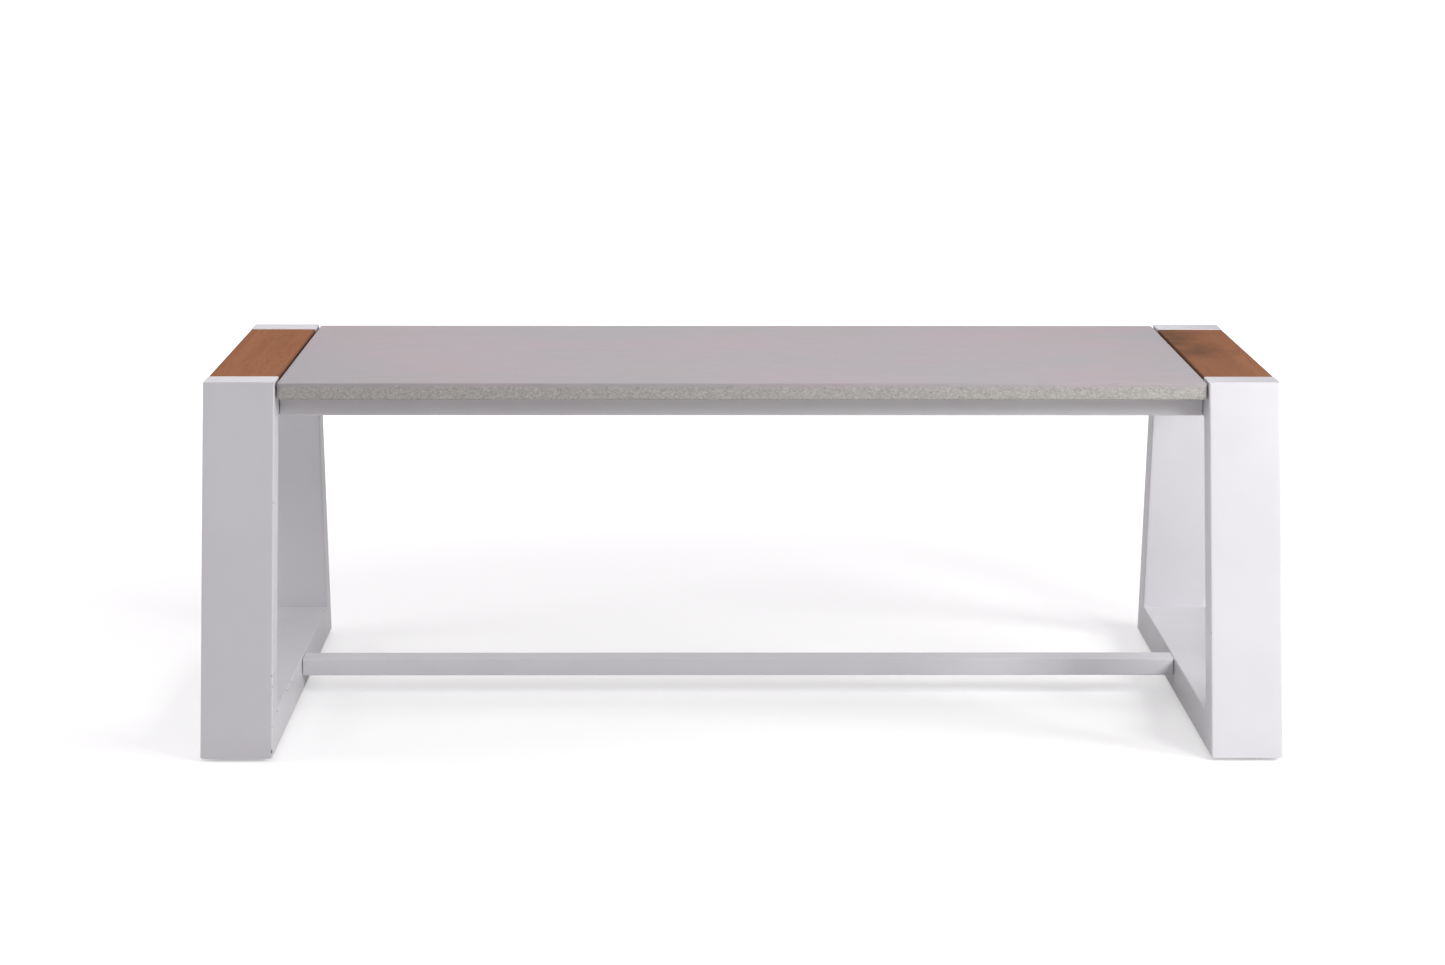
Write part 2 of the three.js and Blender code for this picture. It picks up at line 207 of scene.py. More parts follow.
def smooth(piece, angle=math.radians(35)):
    """Rounded corners shade smoothly, and the big flats stay flat."""
    work_on(piece)
    bpy.ops.object.shade_smooth_by_angle(angle=angle)
    weighted = piece.modifiers.new("flat faces stay flat", "WEIGHTED_NORMAL")
    weighted.keep_sharp = True
    bpy.ops.object.modifier_apply(modifier=weighted.name)
    return piece


def copy_of(piece, name, move=Matrix.Identity(4)):
    """A copy with its own mesh, moved inside that mesh."""
    twin = piece.copy()
    twin.data = piece.data.copy()
    twin.name = twin.data.name = name
    twin.data.transform(move)
    bpy.context.scene.collection.objects.link(twin)
    return twin


def half_turn(x=0.0, y=0.0):
    """Half a turn about the upright line through x, y."""
    centre = Matrix.Translation((x, y, 0))
    return centre @ Matrix.Rotation(math.pi, 4, "Z") @ centre.inverted()


print("helpers ready")

# %% [markdown]
# ## Shared finish recipes
# Paint, stone and wood all need soft clouds of colour, a fine grain you can feel, and wear along
# edges. Each of these is a node group with named inputs, built once. A material then sets its own
# size and strength. The shader itself stays in the material.

# %% Node helpers
def new_group(name, inputs, outputs):
    """A shader node group: inputs are (name, kind, value), outputs are (name, kind)."""
    group = bpy.data.node_groups.new(name, "ShaderNodeTree")
    for label, kind, value in inputs:
        socket = group.interface.new_socket(label, in_out="INPUT", socket_type="NodeSocket" + kind)
        socket.default_value = value
    for label, kind in outputs:
        group.interface.new_socket(label, in_out="OUTPUT", socket_type="NodeSocket" + kind)
    return group, group.nodes.new("NodeGroupInput"), group.nodes.new("NodeGroupOutput")


def node(tree, kind, values=None, **settings):
    """One node, with its settings and the values or links of its inputs."""
    made = tree.nodes.new("ShaderNode" + kind)
    for key, value in settings.items():
        setattr(made, key, value)
    for key, value in (values or {}).items():
        if isinstance(value, bpy.types.NodeSocket):
            tree.links.new(value, made.inputs[key])
        else:
            made.inputs[key].default_value = value
    return made


def work_out(tree, operation, a, b, clamp=False):
    """One step of arithmetic on two values or links."""
    made = node(tree, "Math", {0: a, 1: b}, operation=operation, use_clamp=clamp)
    return made.outputs[0]


def ramp(tree, value, low, high, out_low=0.0, out_high=1.0):
    """Takes the range low..high of a value to out_low..out_high, and holds it there."""
    made = node(tree, "MapRange", {
        "Value": value, "From Min": low, "From Max": high, "To Min": out_low, "To Max": out_high})
    return made.outputs["Result"]


def soft_ramp(tree, value, low, high):
    """The same from 0 to 1, but it starts and stops gently, so no outline shows in the cloud."""
    made = node(
        tree, "MapRange", {"Value": value, "From Min": low, "From Max": high},
        interpolation_type="SMOOTHSTEP")
    return made.outputs["Result"]


def blend_colours(tree, share, a, b, way="MIX"):
    made = node(tree, "Mix", data_type="RGBA", blend_type=way, clamp_result=True)
    for index, value in ((0, share), (6, a), (7, b)):
        if isinstance(value, bpy.types.NodeSocket):
            tree.links.new(value, made.inputs[index])
        else:
            made.inputs[index].default_value = value
    return made.outputs[2]


def object_place(tree, stretch=(1, 1, 1), shift=(0, 0, 0)):
    """Object coordinates in metres, stretched for grain that runs one way."""
    place = node(tree, "TexCoord").outputs["Object"]
    return node(tree, "Mapping", {"Vector": place, "Scale": stretch, "Location": shift}).outputs[0]


print("node helpers ready")

# %% Soft clouds
clouds, given, result = new_group(
    "soft_clouds",
    [("Place", "Vector", (0, 0, 0)), ("Size per metre", "Float", 6.0), ("Contrast", "Float", 0.5)],
    [("Cloud", "Float")])
noise = node(clouds, "TexNoise", {
    "Vector": given.outputs["Place"], "Scale": given.outputs["Size per metre"], "Detail": 4.0,
    "Roughness": 0.55})
spread = work_out(clouds, "MULTIPLY", given.outputs["Contrast"], 0.5)
low = work_out(clouds, "SUBTRACT", 0.5, spread)
high = work_out(clouds, "ADD", 0.5, spread)
clouds.links.new(soft_ramp(clouds, noise.outputs["Fac"], high, low), result.inputs["Cloud"])
print("group", clouds.name)

# %% Fine grain
grain, given, result = new_group(
    "fine_grain",
    [("Place", "Vector", (0, 0, 0)), ("Coarse per metre", "Float", 250.0),
     ("Fine per metre", "Float", 900.0), ("Fine share", "Float", 0.5)],
    [("Height", "Float")])
coarse = node(grain, "TexNoise", {
    "Vector": given.outputs["Place"], "Scale": given.outputs["Coarse per metre"], "Detail": 3.0})
fine = node(grain, "TexNoise", {
    "Vector": given.outputs["Place"], "Scale": given.outputs["Fine per metre"], "Detail": 2.0})
height = node(grain, "Mix", {
    0: given.outputs["Fine share"], 2: coarse.outputs["Fac"], 3: fine.outputs["Fac"]})
grain.links.new(height.outputs[0], result.inputs["Height"])
print("group", grain.name)

# %% Edge chips
PATCHES_PER_METRE = 7.0
EDGE_HELP, PATCH_HELP = 0.16, 0.06
CHIP_SOFTNESS, RUB_WIDTH = 0.015, 0.12
EDGE_STARTS, EDGE_FULL = 0.25, 0.5

chips, given, result = new_group(
    "edge_chips",
    [("Place", "Vector", (0, 0, 0)), ("Edge", "Float", 0.0), ("Chips per metre", "Float", 90.0),
     ("Rarity", "Float", 0.68), ("Extra", "Float", 0.0)],
    [("Chip", "Float"), ("Rub", "Float")])
spots = node(chips, "TexNoise", {
    "Vector": given.outputs["Place"], "Scale": given.outputs["Chips per metre"], "Detail": 5.0,
    "Roughness": 0.65})
patches = node(chips, "TexNoise", {
    "Vector": given.outputs["Place"], "Scale": PATCHES_PER_METRE, "Detail": 1.0})
patchy = ramp(chips, patches.outputs["Fac"], 0.42, 0.62)
reach = work_out(chips, "MULTIPLY", given.outputs["Edge"], EDGE_HELP)
worn = work_out(chips, "ADD", spots.outputs["Fac"], reach)
worn = work_out(chips, "ADD", worn, work_out(chips, "MULTIPLY", patchy, PATCH_HELP))
worn = work_out(chips, "ADD", worn, given.outputs["Extra"])
limit = work_out(chips, "ADD", given.outputs["Rarity"], EDGE_HELP)
over = work_out(chips, "ADD", limit, CHIP_SOFTNESS)
near_edge = ramp(chips, given.outputs["Edge"], EDGE_STARTS, EDGE_FULL)
mask = ramp(chips, worn, limit, over)
chips.links.new(work_out(chips, "MULTIPLY", mask, near_edge), result.inputs["Chip"])
rub_low = work_out(chips, "SUBTRACT", limit, RUB_WIDTH)
rub = work_out(chips, "MULTIPLY", ramp(chips, worn, rub_low, limit), near_edge)
chips.links.new(rub, result.inputs["Rub"])
print("group", chips.name)


# %% Material helpers
def new_material(name, base, roughness, **fixed):
    """A material with its Principled shader. Values that never change go on the shader itself."""
    material = bpy.data.materials.new(name)
    material.use_nodes = True
    tree = material.node_tree
    tree.nodes.clear()
    output = tree.nodes.new("ShaderNodeOutputMaterial")
    shader = node(tree, "BsdfPrincipled", {
        "Base Color": (*base, 1), "Roughness": roughness, **fixed})
    tree.links.new(shader.outputs["BSDF"], output.inputs["Surface"])
    return material, tree, shader


def use(tree, group, **values):
    """Places a shared group. Underscores in the names stand for spaces."""
    placed = node(tree, "Group", node_tree=group)
    for key, value in values.items():
        socket = placed.inputs[key.replace("_", " ")]
        if isinstance(value, bpy.types.NodeSocket):
            tree.links.new(value, socket)
        else:
            socket.default_value = value
    return placed


def raise_bump(tree, shader, height, depth, strength):
    """Turns a height pattern into bumps of a depth in metres."""
    bump = node(tree, "Bump", {"Strength": strength, "Distance": depth, "Height": height})
    tree.links.new(bump.outputs["Normal"], shader.inputs["Normal"])


def grey(level, tint=(1, 1, 1)):
    return tuple(level * t for t in tint) + (1,)


print("material helpers ready")

# %% [markdown]
# ## White paint on the frames
# Box section is sprayed with a satin white paint. It has a faint orange peel, and small chips
# along the corners show grey metal. An attribute on each mesh says how near the surface is to a
# corner, so the chips follow the corners wherever they run. The feet have a few more, where shoes
# and mowers knock them. The rails right under the slab are darkened towards a warm grey: painted
# shade, the slab's shadow. The paint is also a little darker and browner, in clouds, near the
# floor.

# %% Paint material
PAINT = (0.83, 0.826, 0.848)
PAINT_CLOUD = (1, 0.99, 1.025)
BARE_METAL = (0.16, 0.155, 0.16, 1)
# The warm grey below is painted shade: the slab's shadow on the rails beneath it.
SLAB_SHADE = (0.60, 0.575, 0.56, 1)
# The brown grey below darkens the paint a little over the lowest few centimetres.
NEAR_FLOOR_TINT = (0.45, 0.42, 0.39, 1)
SLAB_SHADE_SHARE, NEAR_FLOOR_SHARE, RUB_SHARE = 0.32, 0.12, 0.12
KNOCKS_FROM, KNOCKS_TO, MORE_CHIPS = 110 * MM, 15 * MM, 0.055
NEAR_FLOOR_FROM, NEAR_FLOOR_TO = 40 * MM, 4 * MM
SLAB_SHADE_FROM, SLAB_SHADE_TO = 40 * MM, 20 * MM  # below the slab's underside
CHIP_DEPTH, CHIP_ROUGHNESS = 2.0, 0.2

paint, tree, shader = new_material("satin_white_paint", PAINT, 0.3, **{"IOR": 1.5})
place = object_place(tree)
cloud = use(tree, clouds, Place=place, Size_per_metre=5.0, Contrast=0.35).outputs["Cloud"]
edge = node(tree, "Attribute", attribute_name="edge").outputs["Fac"]
where = node(tree, "SeparateXYZ", {0: place})
knocks = ramp(tree, where.outputs["Z"], KNOCKS_TO, KNOCKS_FROM, MORE_CHIPS, 0.0)
chip = use(tree, chips, Place=place, Edge=edge, Chips_per_metre=170.0, Rarity=0.71, Extra=knocks)
body = blend_colours(tree, cloud, (*PAINT, 1), grey(0.79, PAINT_CLOUD))
slab_low, slab_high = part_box("seat_slab")
along = work_out(tree, "ABSOLUTE", where.outputs["X"], 0.0)
under_slab = ramp(tree, along, slab_high.x, slab_high.x + MM, 1.0, 0.0)
rail_height = ramp(tree, where.outputs["Z"], slab_low.z - SLAB_SHADE_FROM, slab_low.z - SLAB_SHADE_TO)
# Painted shade: the rails just under the slab are darkened towards warm grey, where the slab's
# shadow falls.
slab_shade = work_out(tree, "MULTIPLY", under_slab, rail_height)
body = blend_colours(tree, work_out(tree, "MULTIPLY", slab_shade, SLAB_SHADE_SHARE), body, SLAB_SHADE)
# Darker towards the floor: the paint is browned a little, in clouds, over the lowest few
# centimetres.
near_floor = ramp(tree, where.outputs["Z"], NEAR_FLOOR_TO, NEAR_FLOOR_FROM, 1.0, 0.0)
near_floor_cloud = work_out(tree, "MULTIPLY", near_floor, cloud)
body = blend_colours(tree, work_out(tree, "MULTIPLY", near_floor_cloud, NEAR_FLOOR_SHARE), body, NEAR_FLOOR_TINT)
body = blend_colours(tree, ramp(tree, chip.outputs["Rub"], 0, 1, 0.0, RUB_SHARE), body, grey(0.6))
colour = blend_colours(tree, chip.outputs["Chip"], body, BARE_METAL)
tree.links.new(colour, shader.inputs["Base Color"])
rough = ramp(tree, cloud, 0, 1, 0.28, 0.34)
rougher = work_out(tree, "MULTIPLY", chip.outputs["Chip"], CHIP_ROUGHNESS)
rough = work_out(tree, "ADD", rough, rougher)
tree.links.new(rough, shader.inputs["Roughness"])
peel = use(tree, grain, Place=place, Coarse_per_metre=220.0, Fine_per_metre=700.0, Fine_share=0.3)
skin = work_out(tree, "SUBTRACT", peel.outputs["Height"],
              work_out(tree, "MULTIPLY", chip.outputs["Chip"], CHIP_DEPTH))
raise_bump(tree, shader, skin, 0.00012, 0.35)
print("material", paint.name)

# %% [markdown]
# ## Teak
# The boards run front to back, and so does their grain. Long noise gives the broad figure, shorter
# noise gives the dark pores, and a few soft spots stand for places where oil or water has stained
# the wood. The stretch is done with a Mapping node, so the streaks are much longer than wide. The
# right board is darkened towards deep brown with painted shade, less near its outer edge, and the
# long side edges of both boards are darkened with painted shade from the gaps beside them.

# %% Teak material
TEAK_MID = (0.400, 0.173, 0.090, 1)
TEAK_LIGHT = (0.455, 0.200, 0.104, 1)
TEAK_DARK = (0.140, 0.083, 0.056, 1)
# The deep brown below is painted shade on the right board.
TEAK_SHADE = (0.235, 0.118, 0.072, 1)
OILY_SPOTS = (((0.594, 0.010, 0), (0.040, 0.058)), ((0.578, 0.165, 0), (0.030, 0.085)))
# The edge share is painted shade along the boards' long side edges.
SPOT_SHARE, PORE_SHARE, EDGE_SHADE_SHARE = 0.62, 0.26, 0.5
RIGHT_SHADE_INSIDE, RIGHT_SHADE_OUTSIDE = 0.46, 0.22
ALONG_THE_GRAIN = (1, 0.06, 1)

teak, tree, shader = new_material("oiled_teak", TEAK_MID[:3], 0.5, **{
    "IOR": 1.46, "Specular IOR Level": 0.008})
grain_place = object_place(tree, stretch=ALONG_THE_GRAIN)
place = object_place(tree)
figure = node(tree, "TexNoise", {
    "Vector": grain_place, "Scale": 75.0, "Detail": 5.0, "Roughness": 0.6, "Distortion": 0.3})
pores = node(tree, "TexNoise", {
    "Vector": grain_place, "Scale": 520.0, "Detail": 2.0, "Roughness": 0.5})
wander = node(tree, "TexNoise", {"Vector": place, "Scale": 28.0, "Detail": 3.0}).outputs["Fac"]
stain = 0.0
for centre, size in OILY_SPOTS:
    spot_place = node(tree, "Mapping", {
        "Vector": place, "Location": [-c for c in centre], "Scale": (1, 1, 0)}, vector_type="POINT")
    spread = node(tree, "Mapping", {
        "Vector": spot_place.outputs[0], "Scale": (1 / size[0], 1 / size[1], 0)})
    reach = node(tree, "VectorMath", {0: spread.outputs[0]}, operation="LENGTH").outputs["Value"]
    reach = work_out(tree, "ADD", reach, ramp(tree, wander, 0.3, 0.7, -0.45, 0.45))
    stain = work_out(tree, "ADD", stain, ramp(tree, reach, 0.1, 1.3, SPOT_SHARE, 0.0), clamp=True)
body = blend_colours(tree, ramp(tree, figure.outputs["Fac"], 0.35, 0.65), TEAK_MID, TEAK_LIGHT)
board_low, board_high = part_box("right_teak_board")
from_inside = node(tree, "SeparateXYZ", {0: place}).outputs["X"]
# Painted shade: the right board is darkened towards deep brown, less so near its outer edge.
right_board_shade = ramp(
    tree, from_inside, board_high.x - 35 * MM, board_high.x - 8 * MM, RIGHT_SHADE_INSIDE, RIGHT_SHADE_OUTSIDE)
right_board = ramp(tree, from_inside, 0.0, board_low.x)
body = blend_colours(tree, work_out(tree, "MULTIPLY", right_board_shade, right_board), body, TEAK_SHADE)
in_pores = ramp(tree, pores.outputs["Fac"], 0.54, 0.70, 0.0, PORE_SHARE)
body = blend_colours(tree, in_pores, body, TEAK_DARK)
body = blend_colours(tree, stain, body, TEAK_DARK)
edge = node(tree, "Attribute", attribute_name="edge").outputs["Fac"]
# Painted shade: the long side edges are darkened, for the shadow in the gaps beside the boards.
body = blend_colours(tree, ramp(tree, edge, 0.4, 1.0, 0.0, EDGE_SHADE_SHARE), body, TEAK_DARK)
tree.links.new(body, shader.inputs["Base Color"])
tree.links.new(ramp(tree, figure.outputs["Fac"], 0.3, 0.7, 0.82, 0.68), shader.inputs["Roughness"])
height = work_out(tree, "SUBTRACT", work_out(tree, "MULTIPLY", figure.outputs["Fac"], 0.5),
                ramp(tree, pores.outputs["Fac"], 0.56, 0.72))
raise_bump(tree, shader, height, 0.0002, 0.5)
print("material", teak.name)

# %% [markdown]
# ## Stone
# The top of the slab is honed: smooth, matte, with the faintest clouds of pink and grey-green. Its
# sides are left rough, so they scatter light in specks and look darker and more olive. One
# attribute, painted on the mesh, rises from 0 on the honed top to 1 a few millimetres down the
# side. Noise is added before it is cut to a mask, so the line between the two is ragged.

# %% Stone material
STONE_GREY = (0.520, 0.478, 0.510, 1)
STONE_PINK = (0.570, 0.470, 0.500, 1)
STONE_GREEN = (0.490, 0.492, 0.485, 1)
SIDE_DARK = (0.310, 0.300, 0.276, 1)
SIDE_LIGHT = (0.700, 0.690, 0.655, 1)
GREEN_SHARE, STREAK_SHARE, SPECK_SHARE = 0.7, 0.26, 0.22
DARK_STREAK, PALE_SPECK = 0.36, 0.70

stone, tree, shader = new_material("honed_stone", STONE_GREY[:3], 0.6, **{
    "IOR": 1.5, "Specular IOR Level": 0.3})
place = object_place(tree)
pink = use(tree, clouds, Place=object_place(tree, (0.6, 1, 1)), Size_per_metre=5.0,
           Contrast=0.3).outputs["Cloud"]
green = use(tree, clouds, Place=object_place(tree, (0.6, 1, 1), (3.1, 1.7, 0)), Size_per_metre=6.0,
            Contrast=0.3).outputs["Cloud"]
streak = node(tree, "TexNoise", {
    "Vector": object_place(tree, (0.12, 1, 1)), "Scale": 260.0, "Detail": 4.0, "Roughness": 0.6})
speck = node(tree, "TexNoise", {"Vector": place, "Scale": 420.0, "Detail": 4.0, "Roughness": 0.65})
top = blend_colours(tree, pink, STONE_GREY, STONE_PINK)
top = blend_colours(tree, work_out(tree, "MULTIPLY", green, GREEN_SHARE), top, STONE_GREEN)
in_streak = ramp(tree, streak.outputs["Fac"], 0.35, 0.65, 0.0, STREAK_SHARE)
top = blend_colours(tree, in_streak, top, grey(DARK_STREAK))
in_speck = ramp(tree, speck.outputs["Fac"], 0.60, 0.72, 0.0, SPECK_SHARE)
top = blend_colours(tree, in_speck, top, grey(PALE_SPECK))
mottle = node(tree, "TexNoise", {
    "Vector": object_place(tree, (0.7, 0.7, 1)), "Scale": 520.0, "Detail": 6.0, "Roughness": 0.75})
side = blend_colours(tree, ramp(tree, mottle.outputs["Fac"], 0.32, 0.72), SIDE_DARK, SIDE_LIGHT)
broken_line = node(tree, "TexNoise", {
    "Vector": object_place(tree, (0.5, 0.5, 1)), "Scale": 160.0, "Detail": 5.0, "Roughness": 0.7})
rough_side = node(tree, "Attribute", attribute_name="rough_side").outputs["Fac"]
ragged = ramp(tree, broken_line.outputs["Fac"], 0.3, 0.7, -0.5, 0.5)
rough_side = work_out(tree, "ADD", rough_side, ragged)
rough_side = ramp(tree, rough_side, 0.35, 0.65)
colour = blend_colours(tree, rough_side, top, side)
tree.links.new(colour, shader.inputs["Base Color"])
tree.links.new(ramp(tree, rough_side, 0, 1, 0.55, 0.9), shader.inputs["Roughness"])
tooth = use(tree, grain, Place=place, Coarse_per_metre=300.0, Fine_per_metre=1100.0, Fine_share=0.5)
depth = ramp(tree, rough_side, 0, 1, 0.25, 1.0)
raise_bump(tree, shader, work_out(tree, "MULTIPLY", tooth.outputs["Height"], depth), 0.0012, 0.6)
print("material", stone.name)

# %% [markdown]
# ## Small parts
# Rubber pads, nylon glides, white plugs and zinc-plated fixings are plain mouldings and turnings.
# Each still gets a cloud of colour and a grain of its own, so none of them is one flat tone.


# %% Small materials
def simple_finish(name, base, roughness, cloud_share, coarse, depth, **fixed):
    """A moulded or plated finish: clouded colour, uneven gloss and a fine grain."""
    uneven = 0.06
    material, tree, shader = new_material(name, base, roughness, **fixed)
    place = object_place(tree)
    cloud = use(tree, clouds, Place=place, Size_per_metre=60.0, Contrast=0.5).outputs["Cloud"]
    darker = tuple(c * (1 - cloud_share) for c in base) + (1,)
    tree.links.new(blend_colours(tree, cloud, (*base, 1), darker), shader.inputs["Base Color"])
    tree.links.new(ramp(tree, cloud, 0, 1, roughness - uneven, roughness + uneven),
                   shader.inputs["Roughness"])
    tooth = use(tree, grain, Place=place, Coarse_per_metre=coarse, Fine_per_metre=3 * coarse)
    raise_bump(tree, shader, tooth.outputs["Height"], depth, 0.4)
    return material


rubber = simple_finish("pad_rubber", (0.030, 0.030, 0.032), 0.85, 0.3, 900.0, 0.0002)
nylon = simple_finish("glide_nylon", (0.045, 0.045, 0.048), 0.55, 0.25, 700.0, 0.0001)
plug_white = simple_finish("plug_plastic", (0.78, 0.78, 0.81), 0.42, 0.05, 600.0, 0.0001)
zinc = simple_finish("zinc_plate", (0.60, 0.61, 0.63), 0.36, 0.25, 500.0, 0.0001, Metallic=1.0)
print("small materials:", rubber.name, nylon.name, plug_white.name, zinc.name)

# %% [markdown]
# ## Box section
# A tube starts as a block, its long corners are bevelled to the radius of real box section, and a
# longer, thinner block is carved out of it to leave the wall. Two score lines beside every corner
# carry the edge attribute: one on the corner, falling to nothing a few millimetres away.

# %% Tube maker
FRAME_WALL = 2.5 * MM
RAIL_WALL = 2 * MM
FRAME_CORNER = 2.0 * MM
RAIL_CORNER = 1.5 * MM
LESS_WEAR = 1.8 * MM
EDGE_REACH = 5 * MM
SPARE = 30 * MM


def edge_attribute(piece, distance, name="edge"):
    """Stores 1 where distance(point) is nothing and 0 from EDGE_REACH on."""
    attribute = piece.data.attributes.new(name, "FLOAT", "POINT")
    values = [max(0.0, 1 - distance(v.co) / EDGE_REACH) for v in piece.data.vertices]
    attribute.data.foreach_set("value", values)


def straight_tube(name, low, high, axis, wall, corner, wear_start=0.0):
    """Open box section along X or Y between two corners. A wear_start above 0 lessens the wear."""
    low, high = Vector(low), Vector(high)
    tube = start_block(name, low, high)
    across = [i for i in range(3) if i != axis]
    for i in across:
        normal = [float(j == i) for j in range(3)]
        for near in (low[i] + EDGE_REACH, high[i] - EDGE_REACH):
            score_line(tube, [near if j == i else 0.0 for j in range(3)], normal)
    corners = runs_along(axis)

    def is_corner(a, b):
        middle = (a + b) / 2
        return corners(a, b) and all(
            min(middle[i] - low[i], high[i] - middle[i]) < NEAR for i in across)

    bevel_edges(tube, is_corner, corner)
    inner_low, inner_high = low.copy(), high.copy()
    for i in across:
        inner_low[i] += wall
        inner_high[i] -= wall
    inner_low[axis] -= SPARE
    inner_high[axis] += SPARE
    carve(tube, start_block("inside", inner_low, inner_high))
    edge_attribute(tube, lambda co: wear_start + max(
        min(co[i] - low[i], high[i] - co[i]) for i in across) - corner / 2)
    return tube


print("tube maker ready")

# %% [markdown]
# ## End frames
# Each end frame is a trapezium: two legs that splay towards the floor, mitred to a bottom rail, and
# a top rail between the legs to carry the teak. The joints are welded and ground flush, so no line
# shows on the flat faces. One leg is made and turned half a turn for the others.

# %% Frame sizes, read from the CAD nodes
foot_low, foot_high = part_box("right_bottom_rail")
cap_low, cap_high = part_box("right_front_leg_cap")
FRAME_X = (foot_low.x, foot_high.x)
FRAME_MIDDLE = sum(FRAME_X) / 2
FOOT_Z, RAIL_TOP_Z = foot_low.z, foot_high.z
TOP_Z = cap_high.z
CAP_Z = cap_low.z
FOOT_Y = foot_low.y
plain_low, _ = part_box("right_front_leg")
LEAN = (cap_low.y - plain_low.y) / (cap_low.z - plain_low.z)
LEG_RUN = (cap_high.y - cap_low.y) - LEAN * (cap_high.z - cap_low.z)


def outer_y(z):
    """Front face of the front leg at a height."""
    return cap_low.y + LEAN * (z - CAP_Z)


def inner_y(z):
    return outer_y(z) + LEG_RUN


LEG_ANGLE = math.atan(LEAN)
print("lean in degrees", round(math.degrees(LEG_ANGLE), 2), "leg run in mm", round(LEG_RUN / MM, 2))


# %% Leaning block
def leaning_block(name, x_range, near, far, z_range):
    """A block whose front and back lean like the legs: near and far move its faces inwards."""
    (x0, x1), (z0, z1) = x_range, z_range
    block = start_block(name, (x0, outer_y(z0) + near, z0), (x1, inner_y(z0) - far, z1))
    pick(block, "FACE", lambda centre, normal: normal.z > MOSTLY)
    bpy.ops.transform.translate(value=(0, outer_y(z1) - outer_y(z0), 0))
    done()
    return block


def side_lean(point):
    """How far a point is behind the leg's front face and before its back face, level."""
    return point.y - outer_y(point.z), inner_y(point.z) - point.y


def leaning_corner(x_range):
    """A test for the four long corners of a leaning block."""
    def test(a, b):
        middle = (a + b) / 2
        at_side = min(middle.x - x_range[0], x_range[1] - middle.x) < NEAR
        return abs((b - a).normalized().z) > MOSTLY and at_side and min(side_lean(middle)) < NEAR
    return test


def score_leg(piece, x_range):
    lean_normal = Vector((0, math.cos(LEG_ANGLE), -math.sin(LEG_ANGLE)))
    for x in (x_range[0] + EDGE_REACH, x_range[1] - EDGE_REACH):
        score_line(piece, (x, 0, 0), (1, 0, 0))
    for y in (outer_y(TOP_Z) + EDGE_REACH, inner_y(TOP_Z) - EDGE_REACH):
        score_line(piece, (0, y, TOP_Z), lean_normal)


def leg_edge(point):
    """Distance from a point on a leg's skin to the nearest long corner."""
    across = min(point.x - FRAME_X[0], FRAME_X[1] - point.x)
    return max(across, min(side_lean(point)) * math.cos(LEG_ANGLE)) - FRAME_CORNER / 2


# %% The first leg
wall_run = FRAME_WALL / math.cos(LEG_ANGLE)
leg = leaning_block("right_front_leg_tube", FRAME_X, 0, 0, (FOOT_Z - SPARE, CAP_Z + SPARE))
score_leg(leg, FRAME_X)
bevel_edges(leg, leaning_corner(FRAME_X), FRAME_CORNER)
saw(leg, (0, 0, CAP_Z), (0, 0, 1))
crotch = Vector((0, inner_y(RAIL_TOP_Z), RAIL_TOP_Z))
foot = Vector((0, FOOT_Y, FOOT_Z))
mitre = (crotch - foot).normalized()
mitre_normal = Vector((0, mitre.z, -mitre.y))
saw(leg, foot, mitre_normal)
inside_x = (FRAME_X[0] + FRAME_WALL, FRAME_X[1] - FRAME_WALL)
inside_z = (FOOT_Z - 2 * SPARE, TOP_Z + SPARE)
carve(leg, leaning_block("inside", inside_x, wall_run, wall_run, inside_z))
edge_attribute(leg, leg_edge)
smooth(leg)
print("leg faces:", len(leg.data.polygons), "mitre", [round(v, 3) for v in mitre])

# %% The first cap
CAP_EASE = 1.2 * MM
cap = leaning_block("right_front_leg_top", FRAME_X, 0, 0, (CAP_Z, TOP_Z))
bevel_edges(cap, leaning_corner(FRAME_X), FRAME_CORNER)
bevel_edges(cap, lambda a, b: min(a.z, b.z) > TOP_Z - HAIR, CAP_EASE)
edge_attribute(cap, lambda co: max(0.0, min(leg_edge(co) + FRAME_CORNER, TOP_Z - co.z)))
smooth(cap)
print("cap faces:", len(cap.data.polygons))

# %% [markdown]
# ## Bottom and top rails
# Both rails lie level, front to back. The bottom rail is mitred to the legs. The top rail butts
# against them. Bolts for the long rails go in through wide holes in the outer face, the teak
# screws go up through holes in the underside, and the glides press into holes below.

# %% Bottom rail
BOLT_HOLE_R = 4.3 * MM
ACCESS_HOLE_R = 8 * MM
GLIDE_HOLE_R = 4.3 * MM
DRIVER_HOLE_R = 6 * MM


def middle_of(name):
    low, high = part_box(name)
    return (low + high) / 2


def bolt_pegs(rail_name):
    """Cutters for one bolt: close in the inner wall, wide in the outer wall."""
    bolt = middle_of(f"{rail_name}_right_bolt")
    return (
        peg(BOLT_HOLE_R, (FRAME_X[0], bolt.y, bolt.z), 0, 3 * FRAME_WALL),
        peg(ACCESS_HOLE_R, (FRAME_X[1], bolt.y, bolt.z), 0, 3 * FRAME_WALL),
    )


low, high = Vector(foot_low), Vector(foot_high)
low.y -= SPARE
high.y += SPARE
foot_rail = straight_tube("right_foot_rail", low, high, 1, FRAME_WALL, FRAME_CORNER)
saw(foot_rail, foot, -mitre_normal)
saw(foot_rail, Vector((0, -foot.y, foot.z)), (0, mitre_normal.y, -mitre_normal.z))
glide_y = middle_of("right_back_glide").y
carve(
    foot_rail, *bolt_pegs("stretcher"),
    *(peg(GLIDE_HOLE_R, (FRAME_MIDDLE, y, FOOT_Z), 2, 3 * FRAME_WALL) for y in (-glide_y, glide_y)))
smooth(foot_rail)
print("bottom rail faces:", len(foot_rail.data.polygons))

